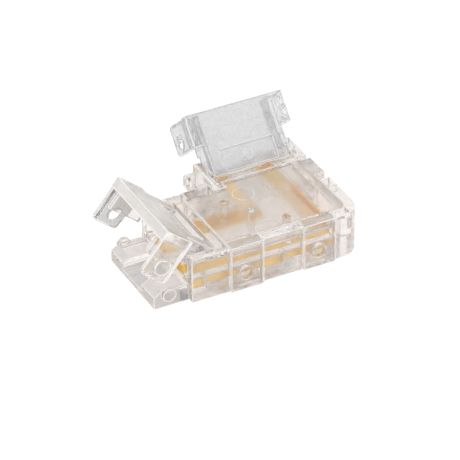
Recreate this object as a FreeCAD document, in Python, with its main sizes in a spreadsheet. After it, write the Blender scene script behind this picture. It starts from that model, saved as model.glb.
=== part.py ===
"""Clear L-shaped clip connector that joins two 8 mm wide, two-conductor LED strips at a right angle.

Millimetres, +Z up. The origin is on the underside, where the centre lines of the two strips cross.
The left strip enters along -X and the back strip along +Y.
"""
import FreeCAD
import Part
import Sketcher
import math
import os

# Name, size and meaning of each driving dimension. Levels are heights above the underside.
SIZES = [
    ("port_width", 11.9, "outside width of each strip port"),
    ("body_height", 5.5, "underside to the top of the cover"),
    ("left_reach", 14.45, "origin to the left end face"),
    ("hinge_bay", 4.55, "length of the bay that holds a flap's hinge"),
    ("tray_reach", 4.1, "length of the open tray in front of a port"),
    ("corner_radius", 2.2, "outer corner of the housing"),
    ("foot_chamfer", 0.2, "bevel round the foot of the housing"),
    ("cover_plate", 0.9, "thickness of the cover's plate"),
    ("tab_thick", 1.1, "thickness of posts, pillars and clip tabs"),
    ("inner_wall", 0.9, "wall behind each clip tab"),
    ("fit_gap", 0.05, "gap between the cover and the housing"),
    ("seat_gap", 0.02, "gap between the cover's plate and its ledges"),
    ("deck_level", 2.1, "level that the strips rest on"),
    ("sill_level", 2.67, "top of the low wall that carries the clip studs"),
    ("tray_floor", 0.75, "floor of the tray's channel"),
    ("tray_recess", 0.8, "step from the port's side to the tray's side"),
    ("channel_width", 4.4, "channel between the tray's shoulders"),
    ("bay_channel_width", 2.4, "channel between the contacts in a bay"),
    ("lead_in_length", 0.95, "slope at the tray's end"),
    ("lead_in_drop", 0.55, "fall of that slope"),
    ("bridge_level", 4.5, "underside of the bar between a hinge and the cover"),
    ("hinge_inset", 2.6, "end face to the hinge axis"),
    ("pin_radius", 0.4, "hinge pin"),
    ("pin_gap", 0.05, "clearance round a hinge pin"),
    ("pin_length", 0.45, "how far a hinge pin stands out of the flap"),
    ("swing_gap", 0.1, "clearance between the flap's round end and the bar"),
    ("flap_thick", 1.2, "thickness of a flap's plate"),
    ("flap_length", 7.3, "hinge axis to the flap's free edge"),
    ("flap_gap", 0.1, "clearance between the flap's neck and a pillar"),
    ("neck_length", 3.65, "hinge axis to where the flap widens"),
    ("snap_tab_thick", 0.75, "thickness of a flap's side tab"),
    ("snap_tab_foot", 0.2, "underside to the end of a closed flap's tab"),
    ("snap_tab_inset", 0.1, "free edge to the tab's edge"),
    ("snap_tab_round", 0.5, "corners at the tab's end"),
    ("snap_lead_in", 0.3, "bevel inside the tab's end"),
    ("snap_reach", 2.45, "end face to the snap studs"),
    ("snap_level", 1.7, "level of the snap studs"),
    ("snap_radius", 0.77, "snap stud"),
    ("snap_height", 0.45, "how far a snap stud stands out"),
    ("snap_gap", 0.06, "clearance round a snap stud"),
    ("groove_angle", 76, "end of the groove to a snap hole, in degrees below the flap's plane"),
    ("groove_gap", 0.03, "clearance over a stud in that groove"),
    ("guide_width", 8.5, "space between the ribs that centre the strip"),
    ("guide_drop", 2.0, "depth of those ribs"),
    ("guide_start", 1.2, "hinge axis to the start of those ribs"),
    ("guide_setback", 0.3, "free edge to the end of those ribs"),
    ("guide_clear", 0.15, "clearance between those ribs and the bay"),
    ("window_width", 6.3, "shallow recess on top of a flap"),
    ("window_length", 2.5, "length of that recess"),
    ("window_start", 0.2, "hinge axis to that recess"),
    ("window_depth", 0.45, "depth of that recess"),
    ("gate_radius", 0.55, "moulding gate's stub in that recess"),
    ("gate_height", 0.1, "height of that stub"),
    ("clip_width", 3.8, "clip tabs on the front"),
    ("clip_proud", 0.1, "how far a clip tab stands out of the side"),
    ("clip_centre", 0.76, "right of the origin to the second front clip"),
    ("side_clip_width", 3.2, "clip tabs on the right and at the back"),
    ("side_clip_centre", 4.1, "behind the origin to the right clip"),
    ("side_slot_start", 1.4, "behind the origin to the start of its slot"),
    ("side_slot_margin", 0.55, "cover's back edge to the end of that slot"),
    ("clip_lead_in", 0.35, "bevel inside the foot of a clip tab"),
    ("clip_stud_level", 1.85, "level of the studs that hold the clip tabs"),
    ("ledge_end", 1.0, "behind the origin to the end of the corner ledge"),
    ("lip_level", 3.95, "lower edge of the lip under the cover's plate"),
    ("contact_offset", 2.72, "strip's centre line to a contact's centre line"),
    ("contact_width", 1.96, "contact strip"),
    ("contact_thick", 0.25, "sheet that the contacts are cut from"),
    ("contact_gap", 0.05, "clearance round a contact in its groove"),
    ("contact_setback", 0.25, "end face to the end of a contact"),
    ("contact_corner", 0.8, "outer corner of a contact"),
    ("flange_level", 1.3, "lower edge of the outer contact's turned-down flange"),
    ("key_level", 1.05, "lower edge of the two keys on that flange"),
    ("first_key_end", 12.55, "left of the origin to the end of the first key"),
    ("second_key_start", 5.5, "left of the origin to the start of the second key"),
    ("second_key_end", 3.2, "left of the origin to the end of the second key"),
    ("flange_setback", 0.1, "start of the outer contact's rounded corner to the end of its flange"),
    ("slit_width", 0.15, "slit through the low wall at the end of a key"),
    ("rim_height", 0.45, "turned-up rim of a contact, above the deck"),
    ("rim_setback", 0.45, "cover's edge to the end of that rim"),
    ("prong_width", 1.6, "pair of upturned prongs"),
    ("prong_root", 0.4, "upturned edge below the prongs' notch"),
    ("prong_height", 1.2, "deck to the tips of the prongs"),
    ("peg_radius", 0.45, "cover's pegs that hold the contacts down"),
    ("peg_gap", 0.05, "peg's end to the contact"),
    ("outer_peg_left", 1.5, "left of the origin to the peg over the outer contact"),
    ("inner_peg_left", 6.2, "left of the origin to the peg over the inner contact"),
    ("middle_peg_left", 4.25, "left of the origin to the peg between the contacts"),
    ("mark_depth", 0.07, "round marks of the ejector pins on the cover"),
    ("mark_radius", 1.2, "mark near the inner corner"),
    ("mark_left", 3.75, "left of the origin to that mark"),
    ("mark_behind", 2.85, "behind the origin to that mark"),
    ("edge_mark_radius", 1.5, "mark at the cover's front edge"),
    ("edge_mark_left", 4.45, "left of the origin to that mark"),
    ("left_open", 39.7, "opening angle of the left flap, in degrees"),
    ("back_open", 48.2, "opening angle of the back flap, in degrees"),
]

# Derived places, as expressions on the sheet.
HALF = "(sizes.port_width / 2)"
SEAT = "(sizes.port_width / 2 - sizes.tab_thick)"
RECESS = "(sizes.port_width / 2 - sizes.tab_thick - sizes.fit_gap)"
INNER = "(sizes.port_width / 2 - sizes.tab_thick - sizes.fit_gap - sizes.inner_wall)"
BACK_REACH = "(sizes.port_width / 2 + sizes.hinge_bay)"
COVER_LEFT = "(sizes.left_reach - sizes.hinge_bay)"
SEAT_LEVEL = "(sizes.body_height - sizes.cover_plate)"
HINGE_LEVEL = "(sizes.body_height - sizes.flap_thick / 2)"
CONTACT_EDGE = "(sizes.contact_offset + sizes.contact_width / 2)"
TRAY_HALF = "(sizes.port_width / 2 - sizes.tray_recess)"
NECK_HALF = "(sizes.port_width / 2 - sizes.tab_thick - sizes.flap_gap)"
FIRST_CLIP = "(-(sizes.left_reach - sizes.hinge_bay) + sizes.fit_gap + sizes.clip_width / 2)"
SECOND_CLIP = "sizes.clip_centre"
SIDE_CLIP = "sizes.side_clip_centre"
LEDGE_LEFT = "(sizes.clip_centre + sizes.clip_width / 2 + sizes.fit_gap)"
STUD_TIP = "(sizes.port_width / 2 - sizes.tray_recess + sizes.snap_height)"

# A port is its side plane, the sign of its outward direction and the reach of its end face.
LEFT_PORT = ("left", "XZ_Plane", "-1", "sizes.left_reach")
BACK_PORT = ("back", "YZ_Plane", "1", BACK_REACH)

# Room past a face for a cut that leaves through it.
PAST = "1"

document = FreeCAD.newDocument("strip_connector")


def make_sheet():
    """The sheet of driving dimensions: meaning, then size."""
    sheet = document.addObject("Spreadsheet::Sheet", "sizes")
    for row, (name, size, meaning) in enumerate(SIZES, start=1):
        sheet.set(f"A{row}", meaning)
        sheet.set(f"B{row}", str(size))
        sheet.setAlias(f"B{row}", name)
    document.recompute()
    return sheet


sizes = make_sheet()


def value(expression):
    """The present value of an expression on the sheet."""
    return float(sizes.evalExpression(expression.replace("sizes.", "")))


def new_body(label):
    """An empty sub-part."""
    return document.addObject("PartDesign::Body", label)


def plane_of(body, role):
    """One of the body's own origin planes."""
    return next(item for item in body.Origin.OriginFeatures if item.Role == role)


def sketch_on(body, name, role, offset="0"):
    """An empty sketch parallel to an origin plane, moved along that plane's normal."""
    sketch = body.newObject("Sketcher::SketchObject", name + "_sketch")
    sketch.AttachmentSupport = [(plane_of(body, role), "")]
    sketch.MapMode = "FlatFace"
    sketch.setExpression("AttachmentOffset.Base.z", offset)
    return sketch


def fix_point(sketch, curve, end, across, up):
    """Tie one point of a curve to its two expressions."""
    for kind, expression in (("DistanceX", across), ("DistanceY", up)):
        index = sketch.addConstraint(
            Sketcher.Constraint(kind, -1, 1, curve, end, value(expression)))
        sketch.setExpression(f"Constraints[{index}]", expression)


def draw_outline(sketch, points):
    """A closed outline of straight lines through the points."""
    corners = [FreeCAD.Vector(value(across), value(up), 0) for across, up in points]
    count = len(corners)
    for index in range(count):
        sketch.addGeometry(Part.LineSegment(corners[index], corners[(index + 1) % count]), False)
    for index in range(count):
        following = (index + 1) % count
        sketch.addConstraint(Sketcher.Constraint("Coincident", index, 2, following, 1))
    for index, (across, up) in enumerate(points):
        fix_point(sketch, index, 1, across, up)
    return sketch


def draw_box(sketch, left, right, low, high):
    """A rectangle between four expressions."""
    return draw_outline(sketch, [(left, low), (right, low), (right, high), (left, high)])


def draw_circle(sketch, across, up, radius):
    """A full circle."""
    centre = FreeCAD.Vector(value(across), value(up), 0)
    circle = Part.Circle(centre, FreeCAD.Vector(0, 0, 1), value(radius))
    curve = sketch.addGeometry(circle, False)
    fix_point(sketch, curve, 3, across, up)
    index = sketch.addConstraint(Sketcher.Constraint("Radius", curve, value(radius)))
    sketch.setExpression(f"Constraints[{index}]", radius)
    return sketch


def raise_pad(body, name, sketch, length, symmetric=False):
    """Material along the sketch's normal, or to both sides of it."""
    feature = body.newObject("PartDesign::Pad", name)
    feature.Profile = sketch
    feature.setExpression("Length", length)
    if symmetric:
        feature.SideType = "Symmetric"
    document.recompute()
    return feature


def cut_pocket(body, name, sketch, length, symmetric=False):
    """A cut against the sketch's normal, or to both sides of it, that must remove material."""
    before = body.Tip.Shape.Volume
    feature = body.newObject("PartDesign::Pocket", name)
    feature.Profile = sketch
    feature.setExpression("Length", length)
    if symmetric:
        feature.SideType = "Symmetric"
    document.recompute()
    if not feature.Shape.Volume < before:
        raise ValueError(f"{body.Label}.{name} removes nothing")
    return feature


def mirror(body, name, feature, role):
    """The feature again, on the other side of an origin plane."""
    copy = body.newObject("PartDesign::Mirrored", name)
    copy.Originals = [feature]
    copy.MirrorPlane = (plane_of(body, role), [""])
    body.Tip = copy
    document.recompute()
    return copy


def edges_where(shape, test):
    """Names of the edges whose box passes the test."""
    return [f"Edge{index}" for index, edge in enumerate(shape.Edges, start=1)
            if test(edge.BoundBox)]


def near(first, second):
    """Whether two lengths are the same."""
    return abs(first - second) < 1e-4


def upright_at(across, behind):
    """A test for edges that stand upright at a place."""
    return lambda box: (near(box.XMin, across) and near(box.XMax, across)
                        and near(box.YMin, behind) and near(box.YMax, behind)
                        and box.ZLength > 1e-3)


def round_edges(body, name, test, radius):
    """A fillet on the edges that pass the test."""
    base = body.Tip
    feature = body.newObject("PartDesign::Fillet", name)
    feature.Base = (base, edges_where(base.Shape, test))
    feature.setExpression("Radius", radius)
    document.recompute()
    return feature


def bevel_edges(body, name, test, size):
    """A chamfer on the edges that pass the test."""
    base = body.Tip
    feature = body.newObject("PartDesign::Chamfer", name)
    feature.Base = (base, edges_where(base.Shape, test))
    feature.setExpression("Size", size)
    document.recompute()
    return feature


def outward(port, expression):
    """An expression along the port's outward direction, in its side plane."""
    return f"{port[2]} * ({expression})"


def clip_slots():
    """Name, side plane, centre and width of the four slots for the cover's clip tabs."""
    return [
        ("first_clip", "front", FIRST_CLIP, "sizes.clip_width"),
        ("second_clip", "front", SECOND_CLIP, "sizes.clip_width"),
        ("rear_clip", "rear", FIRST_CLIP, "sizes.side_clip_width"),
        ("side_clip", "right", SIDE_CLIP, "sizes.side_clip_width"),
    ]


def contact_outline(inner, gap="0"):
    """Corners of one contact's L shape, grown by a gap."""
    wide = f"(sizes.contact_offset + sizes.contact_width / 2 + {gap})"
    narrow = f"(sizes.contact_offset - sizes.contact_width / 2 - {gap})"
    if inner:
        first, second = f"(-{narrow})", f"(-{wide})"
    else:
        first, second = wide, narrow
    left = f"-(sizes.left_reach - sizes.contact_setback + {gap})"
    back = f"({BACK_REACH} - sizes.contact_setback + {gap})"
    return [(left, f"-{first}"), (first, f"-{first}"), (first, back),
            (second, back), (second, f"-{second}"), (left, f"-{second}")]


def add_block(body):
    """The L-shaped block that the housing is cut from, with its rounded outer corner."""
    outline = [("-sizes.left_reach", f"-{HALF}"), (HALF, f"-{HALF}"), (HALF, BACK_REACH),
               (f"-{HALF}", BACK_REACH), (f"-{HALF}", HALF), ("-sizes.left_reach", HALF)]
    sketch = draw_outline(sketch_on(body, "block", "XY_Plane"), outline)
    raise_pad(body, "block", sketch, "sizes.body_height")
    corner = upright_at(value(HALF), -value(HALF))
    round_edges(body, "outer_corner", corner, "sizes.corner_radius")


def add_tray(body, port):
    """The open tray in front of a port: two shoulders with a sloped end."""
    name, plane, _, end = port
    tip = f"{end} + sizes.tray_reach"
    profile = [
        (outward(port, f"{end} - sizes.contact_setback"), "0"),
        (outward(port, tip), "0"),
        (outward(port, tip), "sizes.deck_level - sizes.lead_in_drop"),
        (outward(port, f"{tip} - sizes.lead_in_length"), "sizes.deck_level"),
        (outward(port, f"{end} - sizes.contact_setback"), "sizes.deck_level"),
    ]
    sketch = draw_outline(sketch_on(body, f"{name}_tray", plane), profile)
    raise_pad(body, f"{name}_tray", sketch, f"2 * {TRAY_HALF}", symmetric=True)


def bevel_foot(body):
    """The bevel round the outside of the foot."""
    sides = [value(HALF), value("sizes.left_reach"), value(BACK_REACH), value(TRAY_HALF),
             value("sizes.left_reach + sizes.tray_reach"), value(f"{BACK_REACH} + sizes.tray_reach")]

    def at_foot(box):
        flat = near(box.ZMin, 0) and near(box.ZMax, 0)
        along_x = near(box.YLength, 0) and any(near(abs(box.YMin), side) for side in sides)
        along_y = near(box.XLength, 0) and any(near(abs(box.XMin), side) for side in sides)
        corner = box.XLength > 1e-3 and box.YLength > 1e-3
        return flat and (along_x or along_y or corner)

    bevel_edges(body, "foot_bevel", at_foot, "sizes.foot_chamfer")


def cut_cover_seat(body):
    """The recess that the cover's plate lies in."""
    outline = [(f"-{COVER_LEFT}", f"-{SEAT}"), (SEAT, f"-{SEAT}"), (SEAT, HALF),
               (f"-{SEAT}", HALF), (f"-{SEAT}", SEAT), (f"-{COVER_LEFT}", SEAT)]
    sketch = draw_outline(sketch_on(body, "cover_seat", "XY_Plane", "sizes.body_height"), outline)
    cut_pocket(body, "cover_seat", sketch, "sizes.cover_plate")


def cut_cavity(body):
    """The space over the contacts, with ledges under the plate and a low wall all round."""
    rear_right = f"({FIRST_CLIP} + sizes.side_clip_width / 2 + sizes.fit_gap)"
    outline = [
        (f"-{COVER_LEFT}", f"-{SEAT}"),
        (LEDGE_LEFT, f"-{SEAT}"),
        (LEDGE_LEFT, f"-{INNER}"),
        (INNER, f"-{INNER}"),
        (INNER, "sizes.ledge_end"),
        (SEAT, "sizes.ledge_end"),
        (SEAT, HALF),
        (f"-{SEAT}", HALF),
        (f"-{SEAT}", INNER),
        (rear_right, INNER),
        (rear_right, SEAT),
        (f"-{COVER_LEFT}", SEAT),
    ]
    sketch = draw_outline(sketch_on(body, "cavity", "XY_Plane", SEAT_LEVEL), outline)
    cut_pocket(body, "cavity", sketch, f"{SEAT_LEVEL} - sizes.sill_level")
    corner = upright_at(value(SEAT), -value(SEAT))
    round_edges(body, "inside_corner", corner, "sizes.corner_radius - sizes.tab_thick")
    outline = [
        (f"-{COVER_LEFT}", f"-{INNER}"),
        (INNER, f"-{INNER}"),
        (INNER, HALF),
        (f"-{INNER}", HALF),
        (f"-{INNER}", INNER),
        (f"-{COVER_LEFT}", INNER),
    ]
    sketch = draw_outline(sketch_on(body, "well", "XY_Plane", "sizes.sill_level"), outline)
    cut_pocket(body, "well", sketch, "sizes.sill_level - sizes.deck_level")


def cut_bay(body, port):
    """A port's hinge bay: the space between its pillars, and the way in under the bar."""
    name, plane, _, end = port
    bar = f"{end} - sizes.hinge_inset - sizes.flap_thick / 2 - sizes.swing_gap"
    inside = f"{end} - sizes.hinge_bay"
    bay = draw_box(
        sketch_on(body, f"{name}_bay", plane),
        outward(port, bar), outward(port, f"{end} + {PAST}"),
        "sizes.sill_level", f"sizes.body_height + {PAST}")
    cut_pocket(body, f"{name}_bay", bay, f"2 * {SEAT}", symmetric=True)
    tunnel = draw_box(
        sketch_on(body, f"{name}_tunnel", plane),
        outward(port, inside), outward(port, bar),
        "sizes.sill_level", "sizes.bridge_level")
    cut_pocket(body, f"{name}_tunnel", tunnel, f"2 * {SEAT}", symmetric=True)
    well = draw_box(
        sketch_on(body, f"{name}_bay_well", plane),
        outward(port, inside), outward(port, f"{end} + {PAST}"),
        "sizes.deck_level", "sizes.sill_level")
    cut_pocket(body, f"{name}_bay_well", well, f"2 * {INNER}", symmetric=True)


def cut_channels(body, port):
    """The channel between the tray's shoulders, and its narrower end between the contacts."""
    name, plane, _, end = port
    wide = draw_box(
        sketch_on(body, f"{name}_channel", plane),
        outward(port, end), outward(port, f"{end} + sizes.tray_reach + {PAST}"),
        "sizes.tray_floor", f"sizes.deck_level + {PAST}")
    cut_pocket(body, f"{name}_channel", wide, "sizes.channel_width", symmetric=True)
    slim = draw_box(
        sketch_on(body, f"{name}_bay_channel", plane),
        outward(port, f"{end} - sizes.hinge_bay"), outward(port, end),
        "sizes.tray_floor", "sizes.bridge_level")
    cut_pocket(body, f"{name}_bay_channel", slim, "sizes.bay_channel_width", symmetric=True)


def cut_grooves(body):
    """The grooves that the contacts lie in, flush with the deck."""
    for name, inner in (("outer", False), ("inner", True)):
        sketch = sketch_on(body, f"{name}_groove", "XY_Plane", "sizes.deck_level")
        draw_outline(sketch, contact_outline(inner, "sizes.contact_gap"))
        cut_pocket(body, f"{name}_groove", sketch, "sizes.contact_thick")


def flange_boxes(gap="0"):
    """Name, left, right and lower edge of the outer contact's flange and its keys."""
    start = f"-(sizes.left_reach - sizes.contact_setback + {gap})"
    return [
        ("flange", start, f"{CONTACT_EDGE} - sizes.contact_corner - sizes.flange_setback + {gap}",
         f"sizes.flange_level - {gap}"),
        ("first_key", start, f"-sizes.first_key_end + {gap}", f"sizes.key_level - {gap}"),
        ("second_key", f"-sizes.second_key_start - {gap}", f"-sizes.second_key_end + {gap}",
         f"sizes.key_level - {gap}"),
    ]


def cut_flange_slots(body):
    """The slots that the outer contact's flange and keys press into, and the slits at the keys."""
    for name, left, right, low in flange_boxes("sizes.contact_gap"):
        sketch = draw_box(
            sketch_on(body, f"{name}_slot", "XY_Plane", "sizes.deck_level"), left, right,
            f"-({CONTACT_EDGE} + sizes.contact_gap)",
            f"-({CONTACT_EDGE} - sizes.contact_thick - sizes.contact_gap)")
        cut_pocket(body, f"{name}_slot", sketch, f"sizes.deck_level - ({low})")
    for name, place in (("first_slit", "-sizes.first_key_end"),
                        ("second_slit", "-sizes.second_key_end")):
        sketch = draw_box(
            sketch_on(body, name, "XY_Plane", "sizes.sill_level"), place,
            f"{place} + sizes.slit_width", f"-({RECESS} - sizes.fit_gap)", f"-{CONTACT_EDGE}")
        cut_pocket(body, name, sketch, "sizes.sill_level - sizes.key_level")


def cut_clip_slots(body):
    """The slots in the outside that the cover's clip tabs drop into."""
    for name, side, centre, width in clip_slots():
        low = f"({centre} - {width} / 2 - sizes.fit_gap)"
        high = f"({centre} + {width} / 2 + sizes.fit_gap)"
        edge = f"({HALF} + {PAST})"
        sketch = sketch_on(body, f"{name}_slot", "XY_Plane", "sizes.body_height")
        if side == "front":
            draw_box(sketch, low, high, f"-{edge}", f"-{RECESS}")
        elif side == "rear":
            draw_box(sketch, low, high, RECESS, edge)
        else:
            draw_box(sketch, RECESS, edge, "sizes.side_slot_start",
                     f"{HALF} + sizes.side_slot_margin")
        cut_pocket(body, f"{name}_slot", sketch, "sizes.body_height")


def add_clip_studs(body):
    """The round studs in the slots, which the holes in the clip tabs snap over."""
    length = "sizes.tab_thick + sizes.fit_gap"
    for name, side, centre, _ in clip_slots():
        if side == "right":
            sketch = sketch_on(body, f"{name}_stud", "YZ_Plane", RECESS)
        elif side == "front":
            sketch = sketch_on(body, f"{name}_stud", "XZ_Plane", RECESS)
        else:
            sketch = sketch_on(body, f"{name}_stud", "XZ_Plane", f"-({RECESS} + {length})")
        draw_circle(sketch, centre, "sizes.clip_stud_level", "sizes.snap_radius")
        raise_pad(body, f"{name}_stud", sketch, length)


def add_snap_studs(body, port):
    """The studs on both sides of a tray, which the flap's tabs snap over."""
    name, plane, _, end = port
    sketch = sketch_on(body, f"{name}_snap", plane, TRAY_HALF)
    draw_circle(sketch, outward(port, f"{end} + sizes.snap_reach"), "sizes.snap_level",
                "sizes.snap_radius")
    stud = raise_pad(body, f"{name}_snap", sketch, "sizes.snap_height")
    mirror(body, f"{name}_snap_pair", stud, plane)


def cut_pin_holes(body, port):
    """The blind holes in both pillars that the flap's pins turn in."""
    name, plane, _, end = port
    sketch = draw_circle(
        sketch_on(body, f"{name}_pin_holes", plane),
        outward(port, f"{end} - sizes.hinge_inset"), HINGE_LEVEL,
        "sizes.pin_radius + sizes.pin_gap")
    depth = f"2 * ({NECK_HALF} + sizes.pin_length + sizes.pin_gap)"
    cut_pocket(body, f"{name}_pin_holes", sketch, depth, symmetric=True)


def make_lower_housing():
    """The moulded base: trays, deck, walls, posts and hinge pillars in one piece."""
    body = new_body("lower_housing")
    add_block(body)
    add_tray(body, LEFT_PORT)
    add_tray(body, BACK_PORT)
    bevel_foot(body)
    cut_cover_seat(body)
    cut_cavity(body)
    for port in (LEFT_PORT, BACK_PORT):
        cut_bay(body, port)
        cut_channels(body, port)
    cut_grooves(body)
    cut_flange_slots(body)
    cut_clip_slots(body)
    add_clip_studs(body)
    for port in (LEFT_PORT, BACK_PORT):
        add_snap_studs(body, port)
        cut_pin_holes(body, port)
    return body


def add_cover_plate(body):
    """The cover's plate, stepped round the posts and carried out over the clip tabs."""
    edge = f"({SEAT} - sizes.fit_gap)"
    left = f"(-{COVER_LEFT} + sizes.fit_gap)"
    back = f"({HALF} - sizes.fit_gap)"
    first_right = f"({FIRST_CLIP} + sizes.clip_width / 2)"
    second_left = f"({SECOND_CLIP} - sizes.clip_width / 2)"
    second_right = f"({SECOND_CLIP} + sizes.clip_width / 2)"
    side_low = f"({SIDE_CLIP} - sizes.side_clip_width / 2)"
    side_high = f"({SIDE_CLIP} + sizes.side_clip_width / 2)"
    rear_left = f"({FIRST_CLIP} - sizes.side_clip_width / 2)"
    rear_right = f"({FIRST_CLIP} + sizes.side_clip_width / 2)"
    proud = f"({HALF} + sizes.clip_proud)"
    outline = [
        (left, f"-{proud}"), (first_right, f"-{proud}"), (first_right, f"-{edge}"),
        (second_left, f"-{edge}"), (second_left, f"-{proud}"), (second_right, f"-{proud}"),
        (second_right, f"-{edge}"), (edge, f"-{edge}"), (edge, side_low),
        (proud, side_low), (proud, side_high), (edge, side_high),
        (edge, back), (f"-{edge}", back), (f"-{edge}", edge), (rear_right, edge),
        (rear_right, proud), (rear_left, proud), (rear_left, edge), (left, edge),
    ]
    underside = f"{SEAT_LEVEL} + sizes.seat_gap"
    sketch = draw_outline(sketch_on(body, "plate", "XY_Plane", underside), outline)
    raise_pad(body, "plate", sketch, "sizes.cover_plate - sizes.seat_gap")
    corner = upright_at(value(edge), -value(edge))
    round_edges(body, "plate_corner", corner,
                "sizes.corner_radius - sizes.tab_thick - sizes.fit_gap")


def add_lip(body):
    """The lip under the plate that steadies the cover inside the front and right walls."""
    outside = f"({SEAT} - sizes.fit_gap)"
    inside = f"({INNER} + sizes.fit_gap)"
    front = [f"-{COVER_LEFT} + sizes.fit_gap", f"{LEDGE_LEFT} - sizes.fit_gap",
             f"-{outside}", f"-{inside}"]
    right = [inside, outside, "sizes.ledge_end + sizes.fit_gap", f"{HALF} - sizes.fit_gap"]
    for name, place in (("front_lip", front), ("right_lip", right)):
        sketch = draw_box(sketch_on(body, name, "XY_Plane", "sizes.lip_level"), *place)
        raise_pad(body, name, sketch, "sizes.body_height - sizes.lip_level")


def add_clip_tabs(body):
    """The four tabs that clip over the housing's studs, each with its hole and lead-in."""
    proud = f"({HALF} + sizes.clip_proud)"
    for name, side, centre, width in clip_slots():
        low = f"({centre} - {width} / 2)"
        high = f"({centre} + {width} / 2)"
        sketch = sketch_on(body, name, "XY_Plane")
        if side == "front":
            draw_box(sketch, low, high, f"-{proud}", f"-{SEAT}")
        elif side == "rear":
            draw_box(sketch, low, high, SEAT, proud)
        else:
            draw_box(sketch, SEAT, proud, low, high)
        raise_pad(body, name, sketch, "sizes.body_height")
    seat = value(SEAT)

    def inner_foot(box):
        on_front = near(abs(box.YMin), seat) and near(box.YLength, 0)
        on_right = near(box.XMin, seat) and near(box.XLength, 0)
        return near(box.ZMax, 0) and (on_front or on_right)

    bevel_edges(body, "clip_lead_ins", inner_foot, "sizes.clip_lead_in")


def cut_clip_holes(body):
    """The round holes through the clip tabs."""
    length = f"sizes.tab_thick + sizes.clip_proud + {PAST}"
    for name, side, centre, _ in clip_slots():
        if side == "front":
            sketch = sketch_on(body, f"{name}_hole", "XZ_Plane", f"{SEAT} + {length}")
        elif side == "rear":
            sketch = sketch_on(body, f"{name}_hole", "XZ_Plane", f"-{SEAT}")
        else:
            sketch = sketch_on(body, f"{name}_hole", "YZ_Plane", f"{SEAT} + {length}")
        draw_circle(sketch, centre, "sizes.clip_stud_level",
                    "sizes.snap_radius + sizes.snap_gap")
        cut_pocket(body, f"{name}_hole", sketch, length)


def add_pegs(body):
    """The round pegs that hold the contacts down, and the post between the contacts."""
    places = [("outer_peg", "-sizes.outer_peg_left", "-sizes.contact_offset"),
              ("inner_peg", "-sizes.inner_peg_left", "sizes.contact_offset"),
              ("middle_peg", "-sizes.middle_peg_left", "0")]
    for name, across, behind in places:
        sketch = sketch_on(body, name, "XY_Plane", "sizes.deck_level + sizes.peg_gap")
        draw_circle(sketch, across, behind, "sizes.peg_radius")
        raise_pad(body, name, sketch, f"sizes.body_height - sizes.deck_level - sizes.peg_gap")


def cut_marks(body):
    """The shallow round marks of the ejector pins in the cover's top."""
    marks = [("inner_mark", "-sizes.mark_left", "sizes.mark_behind", "sizes.mark_radius"),
             ("edge_mark", "-sizes.edge_mark_left", f"-({HALF} - sizes.edge_mark_radius)",
              "sizes.edge_mark_radius")]
    for name, across, behind, radius in marks:
        sketch = sketch_on(body, name, "XY_Plane", "sizes.body_height")
        draw_circle(sketch, across, behind, radius)
        cut_pocket(body, name, sketch, "sizes.mark_depth")


def make_top_cover():
    """The moulded cover that closes the corner of the L and clips onto the base."""
    body = new_body("top_cover")
    add_cover_plate(body)
    add_lip(body)
    add_clip_tabs(body)
    cut_clip_holes(body)
    add_pegs(body)
    cut_marks(body)
    return body


def add_rim(body, inner):
    """The turned-up rim along one leg, which stiffens the strip under the cover."""
    inside = f"({CONTACT_EDGE} - sizes.contact_thick)"
    sketch = sketch_on(body, "rim", "XY_Plane", "sizes.deck_level - sizes.contact_thick")
    if inner:
        draw_box(sketch, f"-({COVER_LEFT} - sizes.rim_setback)",
                 f"-({CONTACT_EDGE} + sizes.rim_setback)", inside, CONTACT_EDGE)
    else:
        draw_box(sketch, inside, CONTACT_EDGE,
                 f"-({CONTACT_EDGE} - sizes.contact_corner - sizes.rim_setback)",
                 f"{HALF} - sizes.rim_setback")
    raise_pad(body, "rim", sketch, "sizes.contact_thick + sizes.rim_height")


def add_flange(body):
    """The turned-down flange along the front leg, with its two keys."""
    for name, left, right, low in flange_boxes():
        sketch = draw_box(
            sketch_on(body, name, "XY_Plane", low), left, right,
            f"-{CONTACT_EDGE}", f"-({CONTACT_EDGE} - sizes.contact_thick)")
        raise_pad(body, name, sketch, f"sizes.deck_level - ({low})")


def make_contact(label, inner):
    """A stamped L-shaped contact with a pair of upturned prongs at each end."""
    body = new_body(label)
    sketch = sketch_on(body, "strip", "XY_Plane", "sizes.deck_level - sizes.contact_thick")
    draw_outline(sketch, contact_outline(inner))
    raise_pad(body, "strip", sketch, "sizes.contact_thick")
    side = -1 if inner else 1
    corner = value(f"{side} * (sizes.contact_offset + {side} * sizes.contact_width / 2)")
    round_edges(body, "corner", upright_at(corner, -corner), "sizes.contact_corner")
    for name, plane, end, centre in (
            ("left_prongs", "YZ_Plane", "-(sizes.left_reach - sizes.contact_setback)",
             f"{-side} * sizes.contact_offset"),
            ("back_prongs", "XZ_Plane",
             f"-({BACK_REACH} - sizes.contact_setback)",
             f"{side} * sizes.contact_offset")):
        sketch = sketch_on(body, name, plane, end)
        half = "sizes.prong_width / 2"
        root = "sizes.deck_level + sizes.prong_root"
        tip = "sizes.deck_level + sizes.prong_height"
        low = "sizes.deck_level - sizes.contact_thick / 2"
        outline = [
            (f"{centre} - {half}", low), (f"{centre} + {half}", low),
            (f"{centre} + {half}", root), (f"{centre} + {half} / 2", tip),
            (centre, root), (f"{centre} - {half} / 2", tip), (f"{centre} - {half}", root),
        ]
        draw_outline(sketch, outline)
        raise_pad(body, name, sketch, "sizes.contact_thick")
    add_rim(body, inner)
    if not inner:
        add_flange(body)
    return body


def place_on(port, reach, across="0"):
    """A point of the flap's own level plane, from its reach and its place along the axis."""
    if port[0] == "left":
        return f"-({reach})", across
    return across, reach


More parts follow.
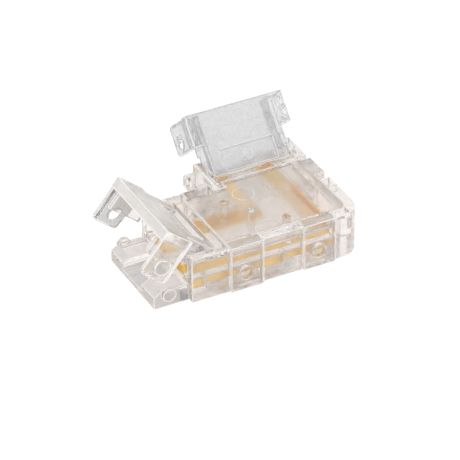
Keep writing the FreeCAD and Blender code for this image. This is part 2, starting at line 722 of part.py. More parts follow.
def add_flap_plate(body, port):
    """The flap's plate: a round hinge end with pins, a narrow neck and a wide free end."""
    plane = port[1]
    half_thick = "(sizes.flap_thick / 2)"
    neck = draw_box(
        sketch_on(body, "neck", plane),
        outward(port, "0"), outward(port, "sizes.flap_length"),
        f"-{half_thick}", half_thick)
    raise_pad(body, "neck", neck, f"2 * {NECK_HALF}", symmetric=True)
    barrel = draw_circle(sketch_on(body, "barrel", plane), "0", "0", half_thick)
    raise_pad(body, "barrel", barrel, f"2 * {NECK_HALF}", symmetric=True)
    pins = draw_circle(sketch_on(body, "pins", plane), "0", "0", "sizes.pin_radius")
    raise_pad(body, "pins", pins, f"2 * ({NECK_HALF} + sizes.pin_length)", symmetric=True)
    wide = draw_box(
        sketch_on(body, "wide_end", plane),
        outward(port, "sizes.neck_length"), outward(port, "sizes.flap_length"),
        f"-{half_thick}", half_thick)
    raise_pad(body, "wide_end", wide, "sizes.port_width", symmetric=True)


def add_snap_tabs(body, port):
    """The two side tabs, rounded at their ends and bevelled inside."""
    plane = port[1]
    half_thick = "(sizes.flap_thick / 2)"
    tab_end = f"(sizes.snap_tab_foot - {HINGE_LEVEL})"
    inner_face = "(sizes.port_width / 2 - sizes.snap_tab_thick)"
    block = draw_box(
        sketch_on(body, "tab_block", plane),
        outward(port, "sizes.neck_length"),
        outward(port, "sizes.flap_length - sizes.snap_tab_inset"),
        tab_end, "0")
    raise_pad(body, "tab_block", block, "sizes.port_width", symmetric=True)
    gap = draw_box(
        sketch_on(body, "tab_gap", plane),
        outward(port, f"sizes.neck_length - {PAST}"), outward(port, f"sizes.flap_length + {PAST}"),
        f"{tab_end} - {PAST}", f"-{half_thick}")
    cut_pocket(body, "tab_gap", gap, f"2 * {inner_face}", symmetric=True)
    lowest = value(tab_end)
    thick = value("sizes.snap_tab_thick")
    inside = value(inner_face)

    def across(box):
        return (box.XMin, box.XMax) if plane == "YZ_Plane" else (box.YMin, box.YMax)

    def end_corner(box):
        low, high = across(box)
        return near(box.ZMin, lowest) and near(box.ZMax, lowest) and near(high - low, thick)

    def inner_end(box):
        low, high = across(box)
        return near(box.ZMin, lowest) and near(box.ZMax, lowest) and near(
            low, high) and near(abs(low), inside)

    round_edges(body, "tab_corners", end_corner, "sizes.snap_tab_round")
    bevel_edges(body, "tab_lead_ins", inner_end, "sizes.snap_lead_in")


def cut_snap_holes(body, port):
    """The holes in the side tabs, and the arc-shaped grooves that lead the studs to them."""
    reach = "(sizes.hinge_inset + sizes.snap_reach)"
    level = f"(sizes.snap_level - {HINGE_LEVEL})"
    half = "(sizes.snap_radius + sizes.snap_gap)"
    holes = draw_circle(
        sketch_on(body, "snap_holes", port[1]), outward(port, reach), level, half)
    cut_pocket(body, "snap_holes", holes, f"sizes.port_width + {PAST}", symmetric=True)
    swing = f"sqrt({reach} ^ 2 + {level} ^ 2)"
    sketch = sketch_on(body, "snap_grooves", port[1])
    hole_angle = value(f"acos({reach} / {swing})")
    angles = [hole_angle, value("sizes.groove_angle")]
    if port[0] == "left":
        start, end = (math.radians(180 + angle) for angle in angles)
    else:
        end, start = (math.radians(-angle) for angle in angles)
    upward = FreeCAD.Vector(0, 0, 1)
    arcs = []
    for radius in (f"{swing} - {half}", f"{swing} + {half}"):
        circle = Part.Circle(FreeCAD.Vector(0, 0, 0), upward, value(radius))
        arc = sketch.addGeometry(Part.ArcOfCircle(circle, start, end), False)
        sketch.addConstraint(Sketcher.Constraint("Coincident", arc, 3, -1, 1))
        index = sketch.addConstraint(Sketcher.Constraint("Radius", arc, value(radius)))
        sketch.setExpression(f"Constraints[{index}]", radius)
        hole_end, open_end = (1, 2) if port[0] == "left" else (2, 1)
        for point, share in ((hole_end, f"{reach} / {swing}"),
                             (open_end, "cos(sizes.groove_angle)")):
            across = outward(port, f"({radius}) * {share}")
            index = sketch.addConstraint(
                Sketcher.Constraint("DistanceX", -1, 1, arc, point, value(across)))
            sketch.setExpression(f"Constraints[{index}]", across)
        arcs.append(arc)
    for point, angle in ((1, start), (2, end)):
        ends = [FreeCAD.Vector(math.cos(angle), math.sin(angle), 0) * value(radius)
                for radius in (f"{swing} - {half}", f"{swing} + {half}")]
        line = sketch.addGeometry(Part.LineSegment(*ends), False)
        sketch.addConstraint(Sketcher.Constraint("Coincident", line, 1, arcs[0], point))
        sketch.addConstraint(Sketcher.Constraint("Coincident", line, 2, arcs[1], point))
    cut_pocket(body, "snap_grooves", sketch, f"2 * ({STUD_TIP} + sizes.groove_gap)",
               symmetric=True)


def add_guide_ribs(body, port):
    """The two ribs under the plate that centre the strip. They are shallower inside the bay."""
    plane = port[1]
    half_thick = "(sizes.flap_thick / 2)"
    low = f"-({half_thick} + sizes.guide_drop)"
    shallow = f"(sizes.sill_level + sizes.guide_clear - {HINGE_LEVEL})"
    start = "sizes.guide_start"
    step = "sizes.hinge_inset + sizes.guide_clear"
    end = "sizes.flap_length - sizes.guide_setback"
    outline = [
        (outward(port, start), shallow), (outward(port, step), shallow),
        (outward(port, step), low), (outward(port, end), low),
        (outward(port, end), f"-{half_thick}"), (outward(port, start), f"-{half_thick}"),
    ]
    block = draw_outline(sketch_on(body, "guides", plane), outline)
    raise_pad(body, "guides", block, f"2 * {NECK_HALF}", symmetric=True)
    gap = draw_box(sketch_on(body, "guide_gap", plane), outward(port, f"{start} - {PAST}"),
                   outward(port, f"{end} + {PAST}"), f"{low} - {PAST}", f"-{half_thick}")
    cut_pocket(body, "guide_gap", gap, "sizes.guide_width", symmetric=True)


def cut_window(body, port):
    """The shallow recess on top of the neck, with the stub of the moulding gate."""
    top = "(sizes.flap_thick / 2)"
    window = draw_box(
        sketch_on(body, "window", port[1]),
        outward(port, "sizes.window_start"),
        outward(port, "sizes.window_start + sizes.window_length"),
        f"{top} - sizes.window_depth", f"{top} + {PAST}")
    cut_pocket(body, "window", window, "sizes.window_width", symmetric=True)
    stub = sketch_on(body, "gate", "XY_Plane", f"{top} - sizes.window_depth")
    middle = place_on(port, "sizes.window_start + sizes.window_length / 2")
    draw_circle(stub, *middle, "sizes.gate_radius")
    raise_pad(body, "gate", stub, "sizes.gate_height")


def make_flap(port, axis, angle):
    """One flap on its hinge axis. Its own frame has the axis at the origin and the flap closed."""
    body = new_body(f"{port[0]}_flap")
    add_flap_plate(body, port)
    add_snap_tabs(body, port)
    cut_snap_holes(body, port)
    add_guide_ribs(body, port)
    cut_window(body, port)
    across, behind = place_on(port, f"{port[3]} - sizes.hinge_inset")
    base = FreeCAD.Vector(value(across), value(behind), value(HINGE_LEVEL))
    body.Placement = FreeCAD.Placement(base, FreeCAD.Rotation(axis, value(angle)))
    body.setExpression("Placement.Base.x", across)
    body.setExpression("Placement.Base.y", behind)
    body.setExpression("Placement.Base.z", HINGE_LEVEL)
    body.setExpression("Placement.Rotation.Angle", angle)
    return body


def check_all():
    """Stop if any object failed to compute or any sub-part isn't one valid solid."""
    document.recompute()
    for item in document.Objects:
        if "Invalid" in item.State or "Error" in item.State:
            raise ValueError(f"{item.Label} is {item.State}")
        shape = getattr(item, "Shape", None)
        if shape is None or item.TypeId.startswith("App::"):
            continue
        if shape.isNull() or not shape.isValid():
            raise ValueError(f"{item.Label} has no valid shape")
    for body in bodies:
        if len(body.Shape.Solids) != 1:
            raise ValueError(f"{body.Label} has {len(body.Shape.Solids)} solids")


bodies = [
    make_lower_housing(),
    make_top_cover(),
    make_flap(LEFT_PORT, FreeCAD.Vector(0, 1, 0), "sizes.left_open"),
    make_flap(BACK_PORT, FreeCAD.Vector(1, 0, 0), "sizes.back_open"),
    make_contact("outer_contact", inner=False),
    make_contact("inner_contact", inner=True),
]
check_all()
os.makedirs("parts", exist_ok=True)
for part_body in bodies:
    part_body.Shape.exportStep(f"parts/{part_body.Label}.step")
    box = part_body.Shape.BoundBox
    reach = [box.XMin, box.XMax, box.YMin, box.YMax, box.ZMin, box.ZMax]
    print(part_body.Label, round(part_body.Shape.Volume, 2), [round(edge, 2) for edge in reach])
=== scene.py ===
import math

import bpy
from mathutils import Matrix, Vector

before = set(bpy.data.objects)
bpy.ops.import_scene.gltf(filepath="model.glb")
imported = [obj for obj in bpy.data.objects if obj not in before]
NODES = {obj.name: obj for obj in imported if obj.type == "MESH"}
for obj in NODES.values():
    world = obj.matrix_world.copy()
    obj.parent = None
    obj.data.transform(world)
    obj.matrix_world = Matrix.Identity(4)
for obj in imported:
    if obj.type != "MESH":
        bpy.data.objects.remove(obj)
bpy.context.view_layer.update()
SCENE = bpy.context.scene

# Millimetres in a metre. Zones and ramps are in millimetres.
PER_METRE = 1000

# The camera that the photograph's edges were fitted to, with its turns in degrees.
CAMERA_PLACE = (-0.124245, -0.226603, 0.175381)
CAMERA_YAW_PITCH_ROLL = (27.383, 33.972, -0.543)
CAMERA_LENS = 225.82

# Light passes many faces of clear plastic on its way.
CLEAR_BOUNCES = 48
DIFFUSE_BOUNCES = 24

# The white studio.
SOFT_LIGHT = 0.75
FLOOR_HALF = 3.0
FLOOR_LEVEL = -0.00002
FLOOR_PAPER = 0.28
FLOOR_GLOW = 0.84

# The rounding of edges, the reach of their painted white highlight and the waves of a moulded
# surface.
EDGE_RADIUS = 0.00012
HIGHLIGHT_RADIUS = 0.00025
WAVE_DEPTH = 0.000012
WAVE_SCALE = 420
# Cosine of the turn at an edge where the painted highlight starts and where it is full, and its
# share then.
HIGHLIGHT_FROM, HIGHLIGHT_FULL = 0.995, 0.93
HIGHLIGHT_SHARE = 0.9

# Clear polycarbonate, with patches that differ in polish and haze.
PLASTIC_IOR = 1.585
PATCH_SCALE = 900
PATCH_ROUGHNESS = (0.02, 0.09)
PATCH_NOISE = (0.3, 0.7)
PATCH_HAZE = (0.4, 1.6)
BACK_SCATTER = 0.35

# Gold plating, with two tones in its patches.
GOLD_SCALE = 1500
GOLD_ROUGHNESS = 0.3
GOLD_TONES = [(0.3, (0.92, 0.60, 0.17)), (0.7, (0.98, 0.72, 0.25))]
# A painted sheen: the paler gold painted on the contacts' legs.
PAINTED_GOLD_SHEEN = (0.99, 0.80, 0.54)

# Cosine from which a face counts as square to a direction.
SQUARE = 0.97

# Directions: the body's, those of the two flaps as the part stands, and of the tray's sloped end.
RIGHT, BEHIND, UP = (1, 0, 0), (0, 1, 0), (0, 0, 1)
LEFT_OPEN, BACK_OPEN = math.radians(39.7), math.radians(48.2)
LEFT_UP = (math.sin(LEFT_OPEN), 0, math.cos(LEFT_OPEN))
LEFT_ALONG = (-math.cos(LEFT_OPEN), 0, math.sin(LEFT_OPEN))
BACK_UP = (0, -math.sin(BACK_OPEN), math.cos(BACK_OPEN))
BACK_ALONG = (0, math.cos(BACK_OPEN), math.sin(BACK_OPEN))
LEAD_IN = (-0.501, 0, 0.865)

# Zones, each a direction and two levels on it.
UNDERSIDE = (UP, -0.1, 0.1)
TRAY_FLOOR = (UP, 0.7, 0.8)
LEFT_TRAY = (RIGHT, -20, -14.4)
PLATE_UNDERSIDE = (UP, 4.4, 4.8)
PLATE_TOP = (UP, 5.4, 5.6)
CLIP_STUD_HEIGHT = (UP, 0.9, 2.8)
CLIP_STUD_PLACES = [(RIGHT, -8.9, -7.0), (RIGHT, -0.2, 1.7)]
LEFT_FREE_EDGE = (LEFT_ALONG, 19, 20)
LEFT_SHOULDER = (LEFT_ALONG, 15.7, 16.1)

# The ramp that ends the contacts' painted sheen towards the back port.
GOLD_SHEEN_END = (BEHIND, 8, 5)


def emptied(tree):
    """A node tree's nodes and links, without the ones it came with."""
    tree.nodes.clear()
    return tree.nodes, tree.links


def add(nodes, kind, **settings):
    """A shader node with its settings."""
    node = nodes.new(kind)
    for name, setting in settings.items():
        setattr(node, name, setting)
    return node


def make_camera():
    """The photograph's camera."""
    data = bpy.data.cameras.new("camera")
    data.sensor_width = 36
    data.lens = CAMERA_LENS
    data.clip_start = 0.01
    data.clip_end = 10
    camera = bpy.data.objects.new("camera", data)
    SCENE.collection.objects.link(camera)
    yaw, pitch, roll = (math.radians(turn) for turn in CAMERA_YAW_PITCH_ROLL)
    right = Vector((math.cos(yaw), -math.sin(yaw), 0))
    ahead = Vector((math.sin(yaw) * math.cos(pitch), math.cos(yaw) * math.cos(pitch),
                    -math.sin(pitch)))
    up = right.cross(ahead)
    turned_right = math.cos(roll) * right + math.sin(roll) * up
    turned_up = math.cos(roll) * up - math.sin(roll) * right
    matrix = Matrix((turned_right, turned_up, -ahead)).transposed().to_4x4()
    matrix.translation = Vector(CAMERA_PLACE)
    camera.matrix_world = matrix
    SCENE.camera = camera


def make_world():
    """White for the camera, mirrors and glass, and soft light for the surfaces."""
    world = bpy.data.worlds.new("studio")
    SCENE.world = world
    world.use_nodes = True
    nodes, links = emptied(world.node_tree)
    soft = add(nodes, "ShaderNodeBackground")
    soft.inputs["Color"].default_value = (1, 1, 1, 1)
    soft.inputs["Strength"].default_value = SOFT_LIGHT
    white = add(nodes, "ShaderNodeBackground")
    white.inputs["Color"].default_value = (1, 1, 1, 1)
    white.inputs["Strength"].default_value = 1.0
    path = add(nodes, "ShaderNodeLightPath")
    seen = add(nodes, "ShaderNodeMath", operation="MAXIMUM")
    mirrored = add(nodes, "ShaderNodeMath", operation="MAXIMUM")
    mix = add(nodes, "ShaderNodeMixShader")
    out = add(nodes, "ShaderNodeOutputWorld")
    links.new(path.outputs["Is Camera Ray"], seen.inputs[0])
    links.new(path.outputs["Is Transmission Ray"], seen.inputs[1])
    links.new(seen.outputs[0], mirrored.inputs[0])
    links.new(path.outputs["Is Glossy Ray"], mirrored.inputs[1])
    links.new(mirrored.outputs[0], mix.inputs[0])
    links.new(soft.outputs[0], mix.inputs[1])
    links.new(white.outputs[0], mix.inputs[2])
    links.new(mix.outputs[0], out.inputs["Surface"])


def make_floor():
    """A plain white floor that keeps the object's soft shadow."""
    mesh = bpy.data.meshes.new("floor")
    mesh.from_pydata([(-FLOOR_HALF, -FLOOR_HALF, 0), (FLOOR_HALF, -FLOOR_HALF, 0),
                      (FLOOR_HALF, FLOOR_HALF, 0), (-FLOOR_HALF, FLOOR_HALF, 0)],
                     [], [(0, 1, 2, 3)])
    floor = bpy.data.objects.new("floor", mesh)
    floor.location.z = FLOOR_LEVEL
    SCENE.collection.objects.link(floor)
    material = bpy.data.materials.new("floor")
    material.use_nodes = True
    nodes, links = emptied(material.node_tree)
    paper = add(nodes, "ShaderNodeBsdfDiffuse")
    paper.inputs["Color"].default_value = (FLOOR_PAPER, FLOOR_PAPER, FLOOR_PAPER, 1)
    glow = add(nodes, "ShaderNodeEmission")
    glow.inputs["Strength"].default_value = FLOOR_GLOW
    both = add(nodes, "ShaderNodeAddShader")
    out = add(nodes, "ShaderNodeOutputMaterial")
    links.new(paper.outputs[0], both.inputs[0])
    links.new(glow.outputs[0], both.inputs[1])
    links.new(both.outputs[0], out.inputs["Surface"])
    mesh.materials.append(material)


def make_lamp(name, place, target, size, power):
    """A square soft box that faces a point."""
    data = bpy.data.lights.new(name, "AREA")
    data.shape = "SQUARE"
    data.size = size
    data.energy = power
    lamp = bpy.data.objects.new(name, data)
    SCENE.collection.objects.link(lamp)
    lamp.location = place
    lamp.rotation_mode = "QUATERNION"
    lamp.rotation_quaternion = (Vector(place) - Vector(target)).to_track_quat("Z", "Y")


def rounded_normal(nodes, links):
    """The normal of soft edges and gentle waves, and how much of a painted edge highlight each
    spot gets.
    """
    place = add(nodes, "ShaderNodeTexCoord")
    edge = add(nodes, "ShaderNodeBevel", samples=6)
    edge.inputs["Radius"].default_value = EDGE_RADIUS
    wide = add(nodes, "ShaderNodeTexNoise")
    wide.inputs["Scale"].default_value = WAVE_SCALE
    wide.inputs["Detail"].default_value = 2
    links.new(place.outputs["Object"], wide.inputs["Vector"])
    waves = add(nodes, "ShaderNodeBump")
    waves.inputs["Strength"].default_value = 1
    waves.inputs["Distance"].default_value = WAVE_DEPTH
    links.new(wide.outputs["Fac"], waves.inputs["Height"])
    links.new(edge.outputs[0], waves.inputs["Normal"])
    flat = add(nodes, "ShaderNodeNewGeometry")
    wide_edge = add(nodes, "ShaderNodeBevel", samples=8)
    wide_edge.inputs["Radius"].default_value = HIGHLIGHT_RADIUS
    turn = add(nodes, "ShaderNodeVectorMath", operation="DOT_PRODUCT")
    links.new(wide_edge.outputs[0], turn.inputs[0])
    links.new(flat.outputs["Normal"], turn.inputs[1])
    highlight_rim = add(nodes, "ShaderNodeMapRange")
    highlight_rim.inputs["From Min"].default_value = HIGHLIGHT_FROM
    highlight_rim.inputs["From Max"].default_value = HIGHLIGHT_FULL
    links.new(turn.outputs["Value"], highlight_rim.inputs["Value"])
    return waves.outputs[0], highlight_rim.outputs[0]


def product(nodes, links, first, second):
    """One value times another."""
    times = add(nodes, "ShaderNodeMath", operation="MULTIPLY")
    links.new(first, times.inputs[0])
    links.new(second, times.inputs[1])
    return times.outputs[0]


def face_mask(nodes, links, facing, zones):
    """1 on the faces square to a direction, either way round, and inside each zone, else 0.

    Without a direction it is 1 on every face inside the zones.
    """
    place = add(nodes, "ShaderNodeTexCoord")
    turned = add(nodes, "ShaderNodeVectorMath", operation="DOT_PRODUCT")
    turned.inputs[1].default_value = facing or (0, 0, 0)
    links.new(place.outputs["Normal"], turned.inputs[0])
    size = add(nodes, "ShaderNodeMath", operation="ABSOLUTE")
    links.new(turned.outputs["Value"], size.inputs[0])
    square = add(nodes, "ShaderNodeMath", operation="GREATER_THAN")
    square.inputs[1].default_value = SQUARE if facing else -1
    links.new(size.outputs[0], square.inputs[0])
    mask = square.outputs[0]
    for direction, low, high in zones:
        along = add(nodes, "ShaderNodeVectorMath", operation="DOT_PRODUCT")
        along.inputs[1].default_value = direction
        links.new(place.outputs["Object"], along.inputs[0])
        near = add(nodes, "ShaderNodeMath", operation="COMPARE")
        near.inputs[1].default_value = (low + high) / 2 / PER_METRE
        near.inputs[2].default_value = (high - low) / 2 / PER_METRE
        links.new(along.outputs["Value"], near.inputs[0])
        mask = product(nodes, links, mask, near.outputs[0])
    return mask


def ramp(nodes, links, direction, low, high):
    """A value that rises from 0 to 1 between two levels on a direction."""
    place = add(nodes, "ShaderNodeTexCoord")
    along = add(nodes, "ShaderNodeVectorMath", operation="DOT_PRODUCT")
    along.inputs[1].default_value = direction
    links.new(place.outputs["Object"], along.inputs[0])
    rise = add(nodes, "ShaderNodeMapRange", interpolation_type="SMOOTHSTEP")
    rise.inputs["From Min"].default_value = low / PER_METRE
    rise.inputs["From Max"].default_value = high / PER_METRE
    links.new(along.outputs["Value"], rise.inputs["Value"])
    return rise.outputs[0]


def plus_masked(nodes, links, value, mask, amount):
    """A value raised by an amount where the mask is 1."""
    more = add(nodes, "ShaderNodeMath", operation="MULTIPLY_ADD")
    more.inputs[1].default_value = amount
    links.new(mask, more.inputs[0])
    links.new(value, more.inputs[2])
    return more.outputs[0]


def toned(nodes, links, colour, mask, tone):
    """A colour, or the socket of one, with another tone where the mask is 1."""
    mix = add(nodes, "ShaderNodeMix", data_type="RGBA")
    mix.inputs["B"].default_value = (*tone, 1)
    links.new(mask, mix.inputs["Factor"])
    if isinstance(colour, tuple):
        mix.inputs["A"].default_value = (*colour, 1)
    else:
        links.new(colour, mix.inputs["A"])
    return mix.outputs["Result"]


def clear_plastic(name, tint, milk_and_highlight, haze, eroded, painted_highlights, painted_shading=(), fades=()):
    """Clear moulded polycarbonate: a polished shell with painted white highlights on its edges
    and a little haze.

    The lists name faces by direction and zones, as face_mask does, and then give:
    eroded: the added roughness and the added haze;
    the painted highlights: the share of painted white highlight, where one below 0 takes painted
    edge highlights away;
    the painted shading: the painted shade or painted light, a tint in place of the material's
    own;
    fades: the ramp along which haze is added, and how much of it.
    """
    material = bpy.data.materials.new(name)
    material.use_nodes = True
    nodes, links = emptied(material.node_tree)
    shader = add(nodes, "ShaderNodeBsdfPrincipled")
    shader.inputs["Base Color"].default_value = (*tint, 1)
    colour = tint
    # Painted shade and painted light: tints that replace the material's own on the listed faces.
    for facing, zones, tone in painted_shading:
        mask = face_mask(nodes, links, facing, zones)
        colour = toned(nodes, links, colour, mask, tone)
    if painted_shading:
        links.new(colour, shader.inputs["Base Color"])
    shader.inputs["Transmission Weight"].default_value = 1
    shader.inputs["IOR"].default_value = PLASTIC_IOR
    place = add(nodes, "ShaderNodeTexCoord")
    cloud = add(nodes, "ShaderNodeTexNoise")
    cloud.inputs["Scale"].default_value = PATCH_SCALE
    links.new(place.outputs["Object"], cloud.inputs["Vector"])
    polish = add(nodes, "ShaderNodeMapRange")
    polish.inputs["To Min"].default_value = PATCH_ROUGHNESS[0]
    polish.inputs["To Max"].default_value = PATCH_ROUGHNESS[1]
    links.new(cloud.outputs["Fac"], polish.inputs["Value"])
    mist = add(nodes, "ShaderNodeMapRange")
    mist.inputs["From Min"].default_value = PATCH_NOISE[0]
    mist.inputs["From Max"].default_value = PATCH_NOISE[1]
    mist.inputs["To Min"].default_value = PATCH_HAZE[0] * haze
    mist.inputs["To Max"].default_value = PATCH_HAZE[1] * haze
    links.new(cloud.outputs["Fac"], mist.inputs["Value"])
    rough, milky = polish.outputs[0], mist.outputs[0]
    for facing, zones, more_rough, more_haze in eroded:
        mask = face_mask(nodes, links, facing, zones)
        rough = plus_masked(nodes, links, rough, mask, more_rough)
        milky = plus_masked(nodes, links, milky, mask, more_haze)
    for facing, zones, rise, more_haze in fades:
        mask = face_mask(nodes, links, facing, zones)
        share = product(nodes, links, mask, ramp(nodes, links, *rise))
        milky = plus_masked(nodes, links, milky, share, more_haze)
    normal, highlight_rim = rounded_normal(nodes, links)
    links.new(rough, shader.inputs["Roughness"])
    links.new(normal, shader.inputs["Normal"])
    lit = add(nodes, "ShaderNodeBsdfTranslucent")
    lit.inputs["Color"].default_value = (*milk_and_highlight, 1)
    cloudy = add(nodes, "ShaderNodeBsdfDiffuse")
    cloudy.inputs["Color"].default_value = (*milk_and_highlight, 1)
    milk = add(nodes, "ShaderNodeMixShader")
    milk.inputs[0].default_value = BACK_SCATTER
    links.new(lit.outputs[0], milk.inputs[1])
    links.new(cloudy.outputs[0], milk.inputs[2])
    mix = add(nodes, "ShaderNodeMixShader")
    links.new(milky, mix.inputs[0])
    links.new(shader.outputs[0], mix.inputs[1])
    links.new(milk.outputs[0], mix.inputs[2])
    # Painted highlight: a white diffuse mixed in on the edges and on the listed faces.
    edge = add(nodes, "ShaderNodeBsdfDiffuse")
    edge.inputs["Color"].default_value = (*milk_and_highlight, 1)
    strength = add(nodes, "ShaderNodeMath", operation="MULTIPLY")
    strength.inputs[1].default_value = HIGHLIGHT_SHARE
    links.new(highlight_rim, strength.inputs[0])
    highlight_share = strength.outputs[0]
    for facing, zones, share in painted_highlights:
        mask = face_mask(nodes, links, facing, zones)
        highlight_share = plus_masked(nodes, links, highlight_share, mask, share)
    highlighted = add(nodes, "ShaderNodeMixShader")
    links.new(highlight_share, highlighted.inputs[0])
    links.new(mix.outputs[0], highlighted.inputs[1])
    links.new(edge.outputs[0], highlighted.inputs[2])
    out = add(nodes, "ShaderNodeOutputMaterial")
    links.new(highlighted.outputs[0], out.inputs["Surface"])
    return material


def gold_metal(name, painted_shading):
    """Satin gold plating on stamped metal.

    The painted shading list holds (direction, zones, ramps, tone) of the faces with painted sheen
    or painted shade.

    A contact lies on its groove without a gap, so light that the groove's floor mirrors
    would start inside the sheet. It passes the sheet's inner side.
    """
    material = bpy.data.materials.new(name)
    material.use_nodes = True
    nodes, links = emptied(material.node_tree)
    shader = add(nodes, "ShaderNodeBsdfPrincipled")
    place = add(nodes, "ShaderNodeTexCoord")
    cloud = add(nodes, "ShaderNodeTexNoise")
    cloud.inputs["Scale"].default_value = GOLD_SCALE
    cloud.inputs["Detail"].default_value = 4
    links.new(place.outputs["Object"], cloud.inputs["Vector"])
    plating = add(nodes, "ShaderNodeValToRGB")
    for stop, (position, tone) in zip(plating.color_ramp.elements, GOLD_TONES):
        stop.position = position
        stop.color = (*tone, 1)
    links.new(cloud.outputs["Fac"], plating.inputs["Fac"])
    colour = plating.outputs[0]
    for facing, zones, rises, tone in painted_shading:
        share = face_mask(nodes, links, facing, zones)
        for rise in rises:
            share = product(nodes, links, share, ramp(nodes, links, *rise))
        colour = toned(nodes, links, colour, share, tone)
    links.new(colour, shader.inputs["Base Color"])
    shader.inputs["Metallic"].default_value = 1
    shader.inputs["Roughness"].default_value = GOLD_ROUGHNESS
    side = add(nodes, "ShaderNodeNewGeometry")
    through = add(nodes, "ShaderNodeBsdfTransparent")
    outer = add(nodes, "ShaderNodeMixShader")
    links.new(side.outputs["Backfacing"], outer.inputs[0])
    links.new(shader.outputs[0], outer.inputs[1])
    links.new(through.outputs[0], outer.inputs[2])
    out = add(nodes, "ShaderNodeOutputMaterial")
    links.new(outer.outputs[0], out.inputs["Surface"])
    return material


def fewer_painted_highlights(front, back):
    """Both clip studs, between two levels from the front, with less of their painted edge
    highlights.
    """
    return [(None, [(BEHIND, front, back), CLIP_STUD_HEIGHT, place], -0.55)
            for place in CLIP_STUD_PLACES]


def housing_plastic():
    """The lower housing, warm and milky."""
    return clear_plastic(
        "clear_housing", tint=(0.99, 0.95, 0.925), milk_and_highlight=(0.99, 0.95, 0.925), haze=0.09,
        eroded=[
            (UP, [UNDERSIDE], 0.08, 0.02),
            (UP, [UNDERSIDE, LEFT_TRAY], 0.35, 0.2),
            # The sloped end of the left tray.
            (LEAD_IN, [], 0.1, 0.4)],
        painted_highlights=[
            # A painted highlight on the sloped end of the left tray.
            (LEAD_IN, [], 0.25),
            *fewer_painted_highlights(-6.3, -4.9)],
        painted_shading=[
            # Painted shade on the tray's floor, then on the left tray's underside.
            (UP, [TRAY_FLOOR], (0.63, 0.63, 0.635)),
            (UP, [UNDERSIDE, LEFT_TRAY], (0.92, 0.88, 0.85)),
            # Painted shade on the left tray's front side, next to the port.
            (BEHIND, [(BEHIND, -5.3, -5.0), (RIGHT, -15.5, -14.4), (UP, 0, 1.7)],
             (0.30, 0.30, 0.31))])


def cover_plastic():
    """The top cover, frosted on its front and right borders."""
    return clear_plastic(
        "clear_cover", tint=(0.97, 0.925, 0.895), milk_and_highlight=(0.98, 0.945, 0.92), haze=0.06,
        eroded=[
            (UP, [PLATE_UNDERSIDE, (RIGHT, -11, 1)], 0.16, 0.02),
            (UP, [PLATE_UNDERSIDE, (RIGHT, 1, 6.1)], 0.06, 0.05),
            # The front border, and the right one behind it.
            (UP, [PLATE_TOP, (BEHIND, -6.1, -4.75)], 0.1, 0.35),
            (UP, [PLATE_TOP, (BEHIND, -4.75, 6.1), (RIGHT, 3.8, 6.1)], 0.1, 0.35)],
        painted_highlights=[
            # The pegs' ends, without painted edge highlights.
            (None, [(UP, 2.0, 2.45), (BEHIND, -3.5, 3.5), (RIGHT, -7, -1)], -1),
            *fewer_painted_highlights(-6.1, -5.2)],
        fades=[
            (UP, [PLATE_UNDERSIDE], (BEHIND, -2.5, 3.5), 0.2)])


def left_flap_plastic():
    """The left flap, frosted, with painted white highlights across it and painted light and shade
    on its tabs and neck.
    """
    return clear_plastic(
        "clear_left_flap", tint=(0.92, 0.90, 0.885), milk_and_highlight=(0.99, 0.965, 0.95), haze=0.08,
        eroded=[
            (LEFT_UP, [], 0.1, 0.03),
            # The recess's floor, then the top beside it.
            (LEFT_UP, [(LEFT_UP, -3.7, -3.6)], 0.1, 0.45),
            (LEFT_UP, [(LEFT_UP, -3.3, -3.1)], 0.05, 0.22),
            (LEFT_ALONG, [LEFT_FREE_EDGE], 0.1, 0.3)],
        painted_highlights=[
            # A painted highlight on the free end's face.
            (LEFT_ALONG, [LEFT_FREE_EDGE], 0.45),
            # Painted highlights on the two ends of the recess.
            (LEFT_ALONG, [(LEFT_ALONG, 12.3, 12.6)], 0.9),
            (LEFT_ALONG, [(LEFT_ALONG, 14.8, 15.1)], 0.6),
            # A painted highlight on the shoulder by the front tab.
            (LEFT_ALONG, [LEFT_SHOULDER], 0.9),
            # A painted highlight on a strip of the front tab's outer side, along its edge.
            (BEHIND, [(BEHIND, -6.1, -5.8), (LEFT_ALONG, 15.8, 16.3)], 0.75),
            # Painted highlights on the lower edges of the guide ribs.
            (LEFT_UP, [(LEFT_UP, -6.5, -6.3)], 0.1)],
        painted_shading=[
            # Painted shade on the rear tab, painted light on the front tab and the neck.
            (BEHIND, [(BEHIND, 5.1, 6.1)], (0.60, 0.60, 0.60)),
            (BEHIND, [(BEHIND, -6.1, -5.1)], (1.0, 0.95, 0.90)),
            (LEFT_UP, [(LEFT_ALONG, 12.2, 15.5)], (0.98, 0.95, 0.935))])


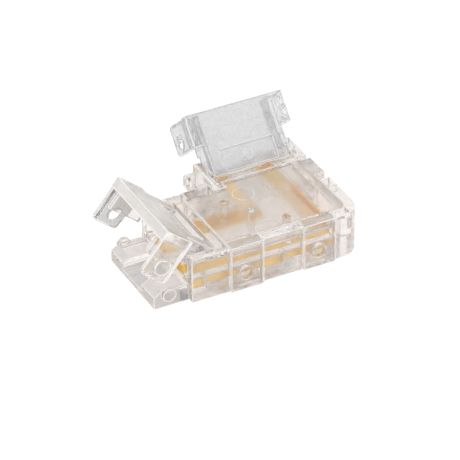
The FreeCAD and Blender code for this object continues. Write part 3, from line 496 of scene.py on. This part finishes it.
def back_flap_plastic():
    """The back flap, cooler and greyer."""
    return clear_plastic(
        "clear_back_flap", tint=(0.70, 0.70, 0.71), milk_and_highlight=(0.98, 0.98, 0.98), haze=0.14,
        eroded=[
            (BACK_UP, [], 0.15, 0.04)],
        painted_highlights=[
            # Painted highlights on the two sides of the recess.
            (RIGHT, [(RIGHT, -3.3, -3.0)], 0.9),
            (RIGHT, [(RIGHT, 3.0, 3.3)], 0.9)],
        painted_shading=[
            # Painted shade on the recess's end at the hinge.
            (BACK_ALONG, [(BACK_ALONG, 9.0, 9.25)], (0.2, 0.2, 0.22)),
            # Painted light on the right border: the plate, then the rib and the tab.
            (BACK_UP, [(RIGHT, 4.2, 6.1)], (0.92, 0.92, 0.92)),
            (RIGHT, [(RIGHT, 4.1, 6.1)], (0.96, 0.96, 0.96)),
            # Painted light on the inner side of the left rib.
            (RIGHT, [(RIGHT, -4.4, -4.1)], (0.90, 0.90, 0.90))])


def contact_gold():
    """The contacts' gold, with a painted sheen on the legs to the back and painted shade on one
    edge.
    """
    return gold_metal("gold_contact", painted_shading=[
        # Painted sheen on the legs of the outer and the inner contact, then painted shade on the
        # outer one's orange edge.
        (UP, [(RIGHT, 1.7, 3.5)], [(BEHIND, -4, 1), GOLD_SHEEN_END], PAINTED_GOLD_SHEEN),
        (UP, [(RIGHT, -3.8, -1.7)], [(BEHIND, 2, 5), GOLD_SHEEN_END], PAINTED_GOLD_SHEEN),
        (RIGHT, [(RIGHT, 3.4, 3.75)], [(BEHIND, -4, -3), GOLD_SHEEN_END], (0.88, 0.50, 0.14))])


def paint(node, material):
    """A CAD node gets its material."""
    mesh = NODES[node].data
    mesh.materials.clear()
    mesh.materials.append(material)


SCENE.view_settings.view_transform = "Standard"
SCENE.cycles.max_bounces = CLEAR_BOUNCES
SCENE.cycles.glossy_bounces = CLEAR_BOUNCES
SCENE.cycles.transmission_bounces = CLEAR_BOUNCES
SCENE.cycles.diffuse_bounces = DIFFUSE_BOUNCES
make_camera()
make_world()
make_floor()
make_lamp("top_softbox", place=(-0.15, -0.1, 0.6), target=(0, 0, 0), size=0.5, power=1.0)
paint("lower_housing", housing_plastic())
paint("top_cover", cover_plastic())
paint("left_flap", left_flap_plastic())
paint("back_flap", back_flap_plastic())
gold = contact_gold()
paint("outer_contact", gold)
paint("inner_contact", gold)
